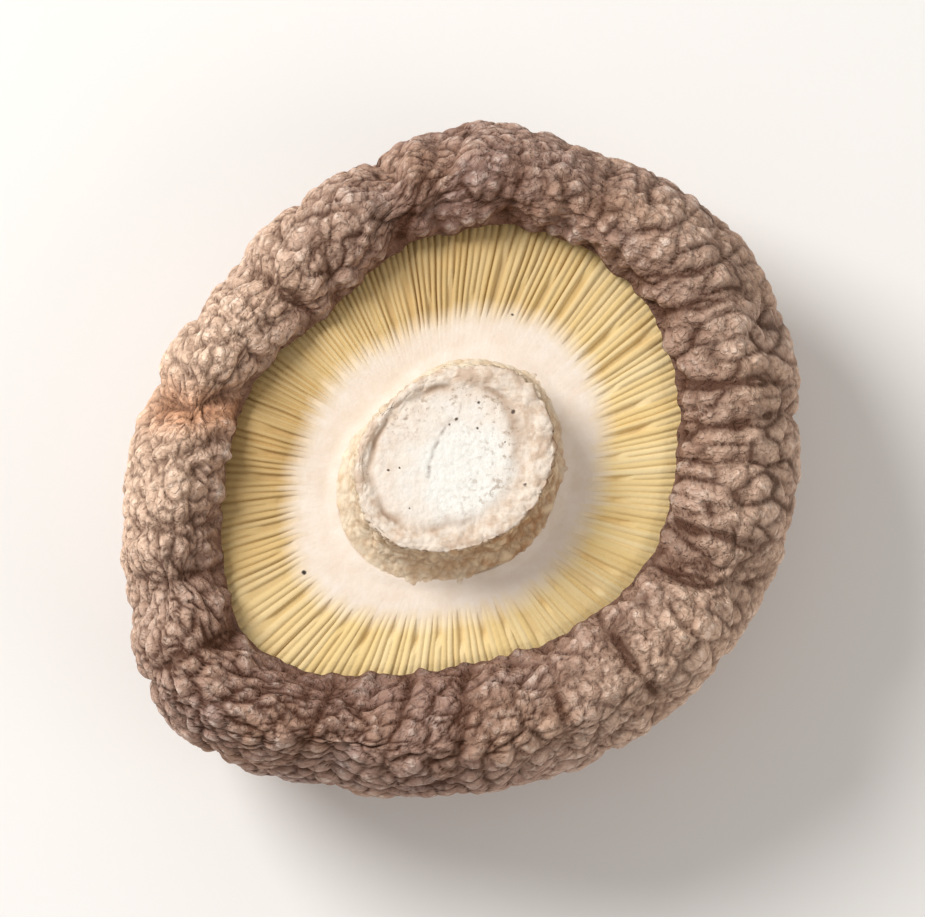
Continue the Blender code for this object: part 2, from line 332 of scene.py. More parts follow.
def cap_surface(station, azimuth):
    """The cap's smooth form at each station and azimuth, before the plates and folds."""
    station, azimuth = np.broadcast_arrays(station, azimuth)
    outline = around(OUTLINE, azimuth)
    opening = around(OPENING, azimuth)
    crest = (outline + opening) / 2
    crest_height = around(CREST_HEIGHTS, azimuth)
    recess = opening + RECESS_REACH
    lip_bottom = LIP_HEIGHT - LIP_THICKNESS
    turn = (station - np.floor(station)) * QUARTER_TURN
    rise, run = np.sin(turn), np.cos(turn)
    ease = 2 / DOME_SQUARENESS
    stretches = [station < end for end in (WIDEST, CREST, LIP, UNDER_LIP, RECESS_CORNER)]
    radii = [
        outline * rise**ease,
        crest + (outline - crest) * run,
        crest - (crest - opening) * rise,
        opening + RECESS_REACH * (1 - run),
        recess,
    ]
    heights = [
        WIDEST_HEIGHT * (1 - run**ease),
        WIDEST_HEIGHT + (crest_height - WIDEST_HEIGHT) * rise,
        LIP_HEIGHT + (crest_height - LIP_HEIGHT) * run,
        LIP_HEIGHT - LIP_THICKNESS * rise,
        lip_bottom + (RECESS_FLOOR - lip_bottom) * (station - UNDER_LIP),
    ]
    radius = np.select(stretches, radii, recess * (RECESS_MIDDLE - station))
    height = np.select(stretches, heights, RECESS_FLOOR)
    return stand_upright(radius * np.cos(azimuth), radius * np.sin(azimuth), height)


def scatter_on_skin(tries, spacings, seed, surface=cap_surface):
    """Centres thrown at random on the smooth form, or on it rolled out, none too near another."""
    chance = np.random.default_rng(seed)
    stations = chance.uniform(FOOT, LIP, tries)
    azimuths = chance.uniform(0, TURN, tries)
    centres = np.empty((0, 3))
    for place, spacing in zip(surface(stations, azimuths), np.interp(stations, (FOOT, CREST), spacings)):
        if (np.linalg.norm(centres - place, axis=1) > spacing).all():
            centres = np.vstack((centres, place))
    return centres


def crease_strength(first, second):
    """How deep the crease between two cells is, the same whichever is named first."""
    low, high = sorted((first, second))
    return FAINTEST_CREASE + (1 - FAINTEST_CREASE) * abs(noise.cell((low + 0.5, high + 0.5, SEED)))


def creases_between(centres, points, wide_width, narrow_width, warp, warp_size):
    """Depth in the creases between the cells round the centres, wide and narrow, from 0 to 1."""
    tree = kdtree.KDTree(len(centres))
    for number, centre in enumerate(centres):
        tree.insert(centre, number)
    tree.balance()
    depths = []
    for point in points:
        pushed = Vector(point) + warp * noise.noise_vector(Vector(point) / warp_size)
        (home, home_number, home_distance), *others = tree.find_n(pushed, 5)
        wide = narrow = 0
        for other, number, distance in others:
            from_border = (distance**2 - home_distance**2) / (2 * (other - home).length)
            strength = crease_strength(home_number, number)
            wide = max(wide, strength * math.exp(-from_border / wide_width))
            narrow = max(narrow, strength * math.exp(-from_border / narrow_width))
        depths.append((wide, narrow))
    return np.array(depths).T


def pinches(azimuth):
    """Depth of the rim's folds at each azimuth."""
    degrees = np.degrees(azimuth)
    depth = np.zeros_like(degrees)
    for middle, half_width, deepest in PINCHES:
        away = (degrees - middle + 180) % 360 - 180
        depth += deepest * np.exp(-((away / half_width) ** 2))
    return depth


def travelled_along(surface, fine):
    """How far a meridian has run at each of its finely spaced places."""
    lengths = np.linalg.norm(np.diff(surface(fine, 0.0), axis=0), axis=1)
    return np.concatenate(([0], np.cumsum(lengths)))


def even_places(surface, start, stop, spacing, steps=400):
    """Places that part a meridian into rows of about this spacing."""
    fine = np.linspace(start, stop, steps)
    travelled = travelled_along(surface, fine)
    rows = round(travelled[-1] / spacing)
    return np.interp(np.linspace(0, travelled[-1], rows + 1), travelled, fine)


def band(lower, upper):
    """Triangles between two rings of vertex numbers of any lengths, where a pole is a ring of one."""
    lower_steps, upper_steps = (len(ring) if len(ring) > 1 else 0 for ring in (lower, upper))
    low = high = 0
    triangles = []
    while low < lower_steps or high < upper_steps:
        lower_corner = lower[low % len(lower)]
        upper_corner = upper[high % len(upper)]
        lower_is_behind = (low + 1) * upper_steps <= (high + 1) * lower_steps
        if low < lower_steps and (high == upper_steps or lower_is_behind):
            low += 1
            triangles.append((lower_corner, lower[low % len(lower)], upper_corner))
        else:
            high += 1
            triangles.append((lower_corner, upper[high % len(upper)], upper_corner))
    return triangles


# Finer relief


def outward(surface, place, azimuth, least, most):
    """Outward directions of a smooth form, read no nearer its ends than least and most."""
    step = 1e-3
    place = np.clip(place, least, most)
    along = surface(place + step, azimuth) - surface(place - step, azimuth)
    across = surface(place, azimuth + step) - surface(place, azimuth - step)
    normal = np.cross(across, along)
    return normal / np.linalg.norm(normal, axis=-1, keepdims=True)


def waves(points, size, seed=0):
    """Smooth noise from about -1 to 1, with bumps of this size."""
    places = points / size + 31.7 * seed
    return np.array([noise.noise(Vector(place)) for place in places])


def bent(points, amount, size):
    """The points pushed about by noise, so that what is drawn at them meanders."""
    pushes = np.array([noise.noise_vector(Vector(place)) for place in points / size])
    return points + amount * pushes


def chance_of(cells, channel):
    """A steady random number from 0 to 1 for each whole-number cell."""
    mixed = np.sin(cells @ np.array((127.1, 311.7, 74.7)) + 53.1 * channel) * 43758.5453
    return mixed - np.floor(mixed)


def cell_creases(points, size, width, seed):
    """1 along the borders of cells scattered about size apart, and falling off inside them."""
    scaled = points / size
    home = np.floor(scaled)
    steps = np.array(np.meshgrid((-1, 0, 1), (-1, 0, 1), (-1, 0, 1))).reshape(3, -1).T
    spots = np.empty((len(steps), *points.shape))
    for spot, step in zip(spots, steps):
        cells = home + step
        spot[:] = cells + np.stack([chance_of(cells, 4 * seed + axis) for axis in range(3)], axis=-1)
    distances = np.linalg.norm(spots - scaled, axis=2)
    nearest = distances.argmin(axis=0)
    own = spots[nearest, np.arange(len(points))]
    own_distance = distances.min(axis=0)
    closest = np.full(len(points), np.inf)
    for spot, distance in zip(spots, distances):
        apart = np.linalg.norm(spot - own, axis=1)
        is_other = apart > 1e-6
        from_border = (distance**2 - own_distance**2) / (2 * np.where(is_other, apart, 1)) * size / width
        closest = np.minimum(closest, np.where(is_other, from_border, np.inf))
    return np.exp(-closest)


# Cap


def columns_for(ring_radius, spacing):
    return max(12, round(TURN * ring_radius / spacing))


def read_out(grid):
    """The place and azimuth of each point of a grid of rings, and how many points each ring has."""
    sizes = [len(azimuths) for _, azimuths in grid]
    places = np.repeat([float(place) for place, _ in grid], sizes)
    return places, np.concatenate([azimuths for _, azimuths in grid]), sizes


def cap_grid():
    """Stations and azimuths of the cap's points, ring by ring, finest where the skin shows."""
    foot = even_places(cap_surface, FOOT, FOOT_ZONE_END, FOOT_SPACING)[1:]
    dome = even_places(cap_surface, FOOT_ZONE_END, WIDEST, DOME_SPACING)[1:]
    rim = even_places(cap_surface, WIDEST, LIP, RIM_SPACING)[1:]
    under = np.linspace(LIP, UNDER_LIP, LIP_ROWS + 1)[1:]
    hidden = np.linspace(UNDER_LIP, RECESS_MIDDLE, RECESS_ROWS + 1)[1:-1]
    rows = [(station, FOOT_SPACING) for station in foot]
    rows += [(station, DOME_SPACING) for station in dome]
    rows += [(station, RIM_SPACING) for station in (*rim, *under)]
    rows += [(station, HIDDEN_SPACING) for station in hidden]
    rings = [(FOOT, np.zeros(1))]
    turned = 0
    for station, spacing in rows:
        columns = columns_for(np.linalg.norm(cap_surface(station, 0.0)[:2]), spacing)
        turned += TURN / columns / 2
        rings.append((station, (turned + np.arange(columns) * TURN / columns) % TURN))
    rings.append((RECESS_MIDDLE, np.zeros(1)))
    return rings


def rolled_out(station, azimuth):
    """Places on a drum round the rim, shortened along each meridian, so that cells there come out long."""
    fine = np.linspace(FOOT, RECESS_MIDDLE, 1200)
    travelled = np.interp(station, fine, travelled_along(cap_surface, fine))
    drum = around(OUTLINE, azimuth) * DRUM_SHARE
    return np.stack((drum * np.cos(azimuth), drum * np.sin(azimuth), travelled * FOLD_SHORTENING), axis=-1)


def rim_creases(station, azimuth, smooth):
    """Depth of the creases across the rim, in their wide part and in their narrow bottom."""
    amount, size = RIM_CREASE_WANDER
    degrees = np.degrees(azimuth)
    degrees_per_mm = 360 / TURN / np.hypot(smooth[:, 0], smooth[:, 1])
    wander = amount * waves(smooth, size, 9)
    depths = np.zeros((2, len(station)))
    for at_lip, further_out, start, end, deepest in RIM_CREASES:
        middle = np.interp(-station, (-start, -end), (at_lip, further_out))
        away = np.abs((degrees - middle + 180) % 360 - 180) / degrees_per_mm
        ends = (start + 0.1, start, end, end - 0.4)
        shown = deepest * np.interp(-station, [-edge for edge in ends], (0, 1, 1, 0))
        for depth, width in zip(depths, RIM_CREASE_WIDTHS):
            depth[:] = np.maximum(depth, shown * np.exp(-np.abs(away + wander) / width))
    return depths


def cap_points(station, azimuth):
    """The cap's points, how deep each lies in the wrinkles, and how near the bottom of a crease."""
    smooth = cap_surface(station, azimuth)
    wrinkled = np.interp(station, WRINKLES_FADE, (1, 0))
    fine = np.interp(station, *FINE_FADE)
    pinched = np.interp(station, PINCHES_START, (0, 1))
    crease_depth = np.interp(station, (FOOT, CREST), (CROWN_CREASE_DEPTH, RIM_CREASE_DEPTH))
    sway = SWAY * waves(smooth, SWAY_SIZE)
    sway *= np.interp(station, (FOOT, FULL_SWAY_STATION), (FOOT_SWAY_SHARE, 1))
    plate_centres = scatter_on_skin(PLATE_TRIES, (CROWN_PLATE, RIM_PLATE), SEED)
    plates, plate_lines = creases_between(plate_centres, smooth, CREASE_WIDTH, LINE_WIDTH, WARP, WARP_SIZE)
    plates *= np.interp(station, *PLATE_SHARE)
    plate_lines *= np.interp(station, *PLATE_SHARE)
    crossing, crossing_lines = rim_creases(station, azimuth, smooth)
    large = (1 - LINE_DEPTH / CROWN_CREASE_DEPTH) * crease_depth * plates + LINE_DEPTH * plate_lines
    large += pinched * pinches(azimuth) - sway
    folded = around(FOLDED, azimuth) * np.interp(station, (0.8, 1.4), (0.5, 1))
    among_folds = 1 - (1 - LUMPS_AMONG_FOLDS) * folded
    among_lumps = FOLDS_AMONG_LUMPS + (1 - FOLDS_AMONG_LUMPS) * folded
    creases = []
    lines = [wrinkled * plate_lines, crossing_lines]
    for surface, spacings, seed, (wide, narrow, deepest, warp, warp_size), window, share in (
        (cap_surface, PUFF_SPACINGS, PUFF_SEED, PUFF_CREASES, PUFFS_WINDOW, among_folds),
        (cap_surface, LUMP_SPACINGS, LUMP_SEED, LUMP_CREASES, LUMPS_WINDOW, among_folds),
        (rolled_out, FOLD_SPACINGS, FOLD_SEED, FOLD_CREASES, FOLDS_WINDOW, among_lumps),
    ):
        centres = scatter_on_skin(SCATTER_TRIES, spacings, seed, surface)
        places = surface(station, azimuth)
        shown, shown_lines = creases_between(centres, places, wide, narrow, warp, warp_size)
        share = share * np.interp(station, *window)
        creases.append(deepest * share * shown)
        lines.append(share * shown_lines)
    lip_lumps = sum(height * waves(smooth, size, 2) for height, size in LIP_LUMPS)
    lip_lumps *= np.interp(station, *LIP_LUMPS_WINDOW)
    small = sum(creases)
    wide_share, narrow_share = RIM_CREASE_SHARES
    small += wide_share * crossing + narrow_share * crossing_lines
    small = DEEPEST_WRINKLE * np.tanh(small / DEEPEST_WRINKLE) - lip_lumps
    inward = wrinkled * large + fine * (small + INSET)
    normals = outward(cap_surface, station, azimuth, 0.02, UNDER_LIP - 0.002)
    points = smooth - inward[:, None] * normals
    sunk = np.interp(station, (FOOT, WIDEST), (FOOT_PRESS, 0))
    points[:, 2] = np.maximum(points[:, 2] - sunk, 0)
    depth = fine * (0.9 * small + 0.5 * wrinkled * plates)
    line = fine * np.max(lines, axis=0)
    return points, depth, line


def make_cap():
    station, azimuth, sizes = read_out(cap_grid())
    points, depth, line = cap_points(station, azimuth)
    from_scorch = (np.degrees(azimuth) - SCORCH_MIDDLE) / SCORCH_HALF_WIDTH
    # The depth and line values carry painted shade for the creases, the lip value a darker band that is
    # partly painted shade, and the sunlit value painted light
    traits = {
        "depth": depth,
        "line": line,
        "crinkled": np.interp(station, *CRINKLED_WINDOW),
        "inner_face": np.interp(station, *INNER_FACE_WINDOW),
        "lip": np.interp(station, *LIP_WINDOW),
        "folded": around(FOLDED, azimuth),
        "sunlit": around(PAINTED_SUNLIGHT, azimuth) * np.interp(station, *SUNLIT_WINDOW),
        "scorch": np.exp(-(from_scorch**2)) * np.interp(station, *SCORCH_WINDOW),
    }
    piece = mesh_from_rings("cap_skin", points, sizes, traits)
    drawn_out = piece.data.attributes.new("drawn_out", "FLOAT_VECTOR", "POINT")
    drawn_out.data.foreach_set("vector", (rolled_out(station, azimuth) * MM).astype(np.float32).ravel())
    return piece


# Gills


def make_gills():
    """Rows of blades and gaps from under the stem's foot to under the lip, closed below."""
    blade_numbers = np.repeat(np.arange(GILL_COUNT), len(BLADE_COLUMNS))
    offsets = np.tile([offset for offset, _ in BLADE_COLUMNS], GILL_COUNT)
    dips = np.tile([dip for _, dip in BLADE_COLUMNS], GILL_COUNT)
    chance = np.random.default_rng(SEED)
    tints = chance.uniform(0, 1, GILL_COUNT)
    leans = chance.uniform(0, TURN, GILL_COUNT)
    lifts = chance.uniform(*BLADE_LIFTS, GILL_COUNT)
    gap_numbers = (blade_numbers + (offsets > 0)) % GILL_COUNT
    gap_shares = chance.uniform(SHALLOWEST_GAP, 1, GILL_COUNT)[gap_numbers]
    is_short = np.arange(GILL_COUNT) % SHORT_BLADE_EVERY == 1
    starts = np.where(is_short, chance.uniform(*SHORT_BLADE_STARTS, GILL_COUNT), 0)
    pale_shifts = chance.uniform(-PALE_SHIFT, PALE_SHIFT, GILL_COUNT)
    is_blade = np.abs(offsets) < 0.4
    even = (blade_numbers + offsets) / GILL_COUNT * TURN
    gap_shares *= around(GAPS_OPEN, even)
    rings = []
    traits = {"edge": [], "pale": [], "tint": [], "browned_and_shaded": []}
    for way_out in np.linspace(0, 1, GILL_ROWS):
        on_drum = np.stack((6 * np.cos(even), 6 * np.sin(even), np.full_like(even, way_out * 2.5)), axis=-1)
        bundled = BUNDLE_SWAY * waves(on_drum, 1.4, 3)
        alone = OWN_SWAY * np.sin(leans[blade_numbers] + way_out * 14) * is_blade
        azimuths = even + (bundled + alone) * TURN / GILL_COUNT
        directions = np.stack((np.cos(azimuths), np.sin(azimuths)))
        inner_radii = around(STEM_BASE_RADII, azimuths) * GILL_INNER_SHARE
        inner = np.array(STEM_BASE)[:, None] + inner_radii * directions
        outer = (around(OPENING, azimuths) + GILL_TUCK) * directions
        x, y = inner + (outer - inner) * way_out
        radius = np.hypot(x, y)
        past_pale = radius - around(PALE_RADII, np.arctan2(y, x)) - pale_shifts[blade_numbers]
        opened = np.interp(past_pale, (-3, -0.5, 0.1, 1.2), (0.01, 0.03, 0.45, 1))
        begun = np.interp(way_out - starts[blade_numbers], (-0.02, 0.12), (0.6, 1))
        begun = np.where(starts[blade_numbers] > 0, begun, 1)
        blade_top = (1 - begun) * GAP_DEPTH * opened
        height = GILL_HEIGHT + np.interp(way_out, *GILL_CREST) + lifts[blade_numbers] * opened
        drop = np.maximum(dips * gap_shares * GAP_DEPTH * opened, blade_top)
        rings.append(stand_upright(x, y, height - drop))
        # These values carry painted shade for the gaps between the blades and for the blades the rim shades
        traits["edge"].append(1 - np.clip(drop / GAP_DEPTH, 0, 1))
        traits["pale"].append(1 - np.clip((past_pale + 1.1) / 2.2, 0, 1))
        traits["tint"].append(tints[blade_numbers])
        traits["browned_and_shaded"].append(around(BLADES_SHADED, azimuths))
    for ring in (rings[-1], rings[0]):
        below = ring.copy()
        below[:, 2] = GILL_FLOOR
        rings.append(below)
    for trait in traits.values():
        trait += [trait[-1], trait[0]]
    sizes = [len(ring) for ring in rings]
    stacked = {name: np.concatenate(values) for name, values in traits.items()}
    return mesh_from_rings("gill_blades", np.vstack(rings), sizes, stacked, joins_up=True, turned_over=True)


# Stem


def stem_surface(place, azimuth):
    """The stem's smooth form at each place along its meridian and azimuth."""
    place, azimuth = np.broadcast_arrays(place, azimuth)
    numbers = np.arange(len(STEM_PROFILE))
    height, share, scale = (np.interp(place, numbers, column) for column in zip(*STEM_PROFILE))
    base_radii, top_radii = around(STEM_BASE_RADII, azimuth), around(STEM_TOP_RADII, azimuth)
    radius = scale * (base_radii + (top_radii - base_radii) * share)
    shifted = np.interp(place, (RING_TOP, CUT_START), (0, 1))
    middles = zip(STEM_BASE, STEM_TOP, DISH_SHIFT)
    x, y = (base + (top - base) * share + shift * shifted for base, top, shift in middles)
    return stand_upright(x + radius * np.cos(azimuth), y + radius * np.sin(azimuth), height)


def shown_place(points):
    """The x and y of upright points in the photo's plane, the reverse of stand_upright()."""
    x, y, z = points.T
    shown_rise = (np.maximum(z, WIDEST_HEIGHT) - GILL_HEIGHT) * math.cos(VIEW_ELEVATION)
    return np.stack((x - CENTRING[0], (y - CENTRING[1]) * math.sin(VIEW_ELEVATION) + shown_rise), axis=-1)


def distance_from_line(places, corners):
    """How far each flat place is from a line through the corners."""
    distances = []
    for start, end in zip(np.array(corners), np.array(corners)[1:]):
        along = end - start
        share = np.clip((places - start) @ along / (along @ along), 0, 1)
        distances.append(np.linalg.norm(places - start - share[:, None] * along, axis=1))
    return np.min(distances, axis=0)


def stem_grid():
    """Places and azimuths of the stem's points, ring by ring, from its foot to the middle of its cut."""
    rings = [(0, np.zeros(1))]
    middle = stem_surface(CUT_MIDDLE, 0.0)
    rows = even_places(stem_surface, 0, CUT_MIDDLE, STEM_SPACING, steps=1200)
    for number, place in enumerate(rows[:-1]):
        ring_radius = np.linalg.norm((stem_surface(place, 0.0) - middle)[:2])
        columns = columns_for(ring_radius, STEM_SPACING)
        rings.append((place, (number % 2 * 0.5 + np.arange(columns)) * TURN / columns))
    rings.append((CUT_MIDDLE, np.zeros(1)))
    return rings


def make_stem():
    place, azimuth, sizes = read_out(stem_grid())
    smooth = stem_surface(place, azimuth)
    smooth[0] = stem_surface(0.0, np.linspace(0, TURN, 100)).mean(axis=0)
    normals = outward(stem_surface, place, azimuth, 0.02, CUT_MIDDLE - 0.3)
    flank = np.interp(place, (FLANK_START, FLANK_START + 1, FLANK_END, FLANK_END + 1), (0, 1, 1, 0))
    roughened = flank * np.interp(place, (FLANK_START, FLANK_START + 4), (0, 1))
    cut = np.interp(place, (RING_END, CUT_START), (0, 1))
    from_whitest = np.linalg.norm((shown_place(smooth) - WHITEST) * (1, 0.8), axis=1)
    white = cut * np.interp(from_whitest, (CREAM_FROM, CREAM_TO), (1, 0))
    ring = np.clip(1 - flank - cut, 0, 1)
    shreds = cell_creases(bent(smooth * (1, 1, 0.8), 0.5, 1.0), 1.0, 0.2, 21)
    lumps = waves(smooth, 1.6, 5)
    grain = waves(smooth, 0.5, 6)
    crack_distance = distance_from_line(shown_place(bent(smooth, 0.2, 0.9)), CRACK)
    crack = cut * np.exp(-((crack_distance / CRACK_WIDTH) ** 2))
    crack *= np.clip(0.7 + 1.5 * waves(smooth, 0.7, 12), 0.2, 1)
    seam = np.exp(-(((place + 0.7 * waves(smooth, 1.5, 7) - RING_END - 1) / 0.5) ** 2))
    seam *= np.clip(0.5 + 1.5 * waves(smooth, 2.5, 8), 0, 1)
    edge_line = np.exp(-(((place + 0.5 * waves(smooth, 1.2, 10) - FLANK_END) / 0.7) ** 2))
    edge_line *= np.clip(0.4 + 2 * waves(smooth, 1.3, 11), 0, 1) * around(EDGE_BROWNED, azimuth)
    swell_height, swell_size = RING_SWELL
    push = swell_height * ring * waves(smooth, swell_size, 9) - CRACK_DEPTH * crack - SEAM_DEPTH * seam
    for share, relief in ((roughened, FLANK_RELIEF), (ring, RING_RELIEF), (cut, CUT_RELIEF)):
        lump_height, shred_depth, grain_height = relief
        push += share * (lump_height * lumps - shred_depth * shreds + grain_height * grain)
    points = smooth + push[:, None] * normals
    traits = {
        "flank": flank,
        "cut": cut,
        "white": white,
        "shreds": shreds,
        "crack": crack,
        "seam": seam,
        "edge_line": edge_line,
        # Browner flank, partly its own ochre and partly painted shade on the side away from the light
        "browned_and_shaded": around(FLANK_BROWNED_AND_SHADED, azimuth),
        "grit": np.exp(-(((place - CUT_START) / 1.6) ** 2)) * around(GRIT_ROUND, azimuth),
    }
    return mesh_from_rings("stem_stub", points, sizes, traits)


# Meshes


def mesh_from_rings(name, points, sizes, traits, joins_up=False, turned_over=False):
    """A smooth closed mesh through rings of points, with a named value at each point for its colours."""
    starts = np.cumsum([0] + sizes)
    numbered = [range(start, end) for start, end in zip(starts, starts[1:])]
    if joins_up:
        numbered.append(numbered[0])
    triangles = [corners for pair in zip(numbered, numbered[1:]) for corners in band(*pair)]
    if turned_over:
        triangles = [corners[::-1] for corners in triangles]
    mesh = bpy.data.meshes.new(name)
    mesh.from_pydata((points * MM).tolist(), [], triangles)
    mesh.shade_smooth()
    for trait, values in traits.items():
        attribute = mesh.attributes.new(trait, "FLOAT", "POINT")
        attribute.data.foreach_set("value", values.astype(np.float32))
    piece = bpy.data.objects.new(name, mesh)
    bpy.context.scene.collection.objects.link(piece)
    print(name, len(points), "points", len(triangles), "triangles")
    return piece


# Materials


class Shading:
    """A material and the short calls that wire its nodes."""

    def __init__(self, name, roughness, shine=0.5):
        self.material = bpy.data.materials.new(name)
        self.material.use_nodes = True
        self.nodes = self.material.node_tree.nodes
        self.shader = self.nodes["Principled BSDF"]
        self.shader.inputs["Roughness"].default_value = roughness
        self.shader.inputs["Specular IOR Level"].default_value = shine
        self.places = self.nodes.new("ShaderNodeTexCoord").outputs["Object"]

    def fill(self, socket, value):
        """Links a socket to another node's output, or sets its plain value."""
        if isinstance(value, bpy.types.NodeSocket):
            self.material.node_tree.links.new(value, socket)
        elif isinstance(value, tuple):
            socket.default_value = (*value, 1) if len(socket.default_value) == 4 else value
        else:
            socket.default_value = value

    def trait(self, name, output="Fac"):
        node = self.nodes.new("ShaderNodeAttribute")
        node.attribute_name = name
        return node.outputs[output]

    def noise(self, size, detail=3.0, roughness=0.55, places=None, output="Fac"):
        """Noise with features of this size in millimetres."""
        node = self.nodes.new("ShaderNodeTexNoise")
        self.fill(node.inputs["Vector"], places or self.places)
        self.fill(node.inputs["Scale"], 1 / (size * MM))
        self.fill(node.inputs["Detail"], detail)
        self.fill(node.inputs["Roughness"], roughness)
        return node.outputs[output]

    def wrinkles(self, size, narrowness, places):
        """1 along winding lines about this many millimetres apart, and falling to 0 between them."""
        from_line = self.maths("ABSOLUTE", self.maths("SUBTRACT", self.noise(size, 2, 0.5, places), 0.5))
        return self.spread(from_line, narrowness, 0)

    def pebbles(self, size, places):
        """Distance from the middle of rounded cells of this size in millimetres, as a share of it."""
        node = self.nodes.new("ShaderNodeTexVoronoi")
        self.fill(node.inputs["Vector"], places)
        self.fill(node.inputs["Scale"], 1 / (size * MM))
        return node.outputs["Distance"]

    def pushed(self, amount, size):
        """Places pushed about by noise, both lengths in millimetres."""
        centred = self.nodes.new("ShaderNodeVectorMath")
        centred.operation = "SUBTRACT"
        self.fill(centred.inputs[0], self.noise(size, output="Color"))
        self.fill(centred.inputs[1], (0.5, 0.5, 0.5))
        scaled = self.nodes.new("ShaderNodeVectorMath")
        scaled.operation = "SCALE"
        self.fill(scaled.inputs[0], centred.outputs[0])
        self.fill(scaled.inputs["Scale"], 2 * amount * MM)
        added = self.nodes.new("ShaderNodeVectorMath")
        self.fill(added.inputs[0], self.places)
        self.fill(added.inputs[1], scaled.outputs[0])
        return added.outputs[0]

    def specks(self, specks, height):
        """1 inside the round specks, each given by its x, y and radius in the photo's plane."""
        together = None
        for x, y, radius in specks:
            node = self.nodes.new("ShaderNodeVectorMath")
            node.operation = "DISTANCE"
            self.fill(node.inputs[0], self.pushed(0.12, 0.25))
            self.fill(node.inputs[1], tuple(stand_upright(x, y, height) * MM))
            speck = self.spread(node.outputs["Value"], radius * MM, 0.5 * radius * MM)
            together = self.maths("MAXIMUM", together, speck) if together else speck
        return together

    def maths(self, operation, first, second=0.0):
        node = self.nodes.new("ShaderNodeMath")
        node.operation = operation
        self.fill(node.inputs[0], first)
        self.fill(node.inputs[1], second)
        return node.outputs[0]

    def spread(self, value, low, high, start=0.0, end=1.0):
        """Maps the range low to high onto start to end, and holds it there."""
        node = self.nodes.new("ShaderNodeMapRange")
        for socket, number in zip(node.inputs[:5], (value, low, high, start, end)):
            self.fill(socket, number)
        return node.outputs[0]

    def mix(self, share, first, second):
        node = self.nodes.new("ShaderNodeMix")
        node.data_type = "RGBA"
        self.fill(node.inputs[0], share)
        self.fill(node.inputs[6], first)
        self.fill(node.inputs[7], second)
        return node.outputs[2]

    def finish(self, colour, heights):
        """Gives the shader its colour and its bump, a list of heights with their size in millimetres."""
        self.fill(self.shader.inputs["Base Color"], colour)
        normal = None
        for height, size in heights:
            node = self.nodes.new("ShaderNodeBump")
            node.inputs["Distance"].default_value = size * MM
            self.fill(node.inputs["Height"], height)
            if normal:
                self.fill(node.inputs["Normal"], normal)
            normal = node.outputs[0]
        self.fill(self.shader.inputs["Normal"], normal)
        return self.material


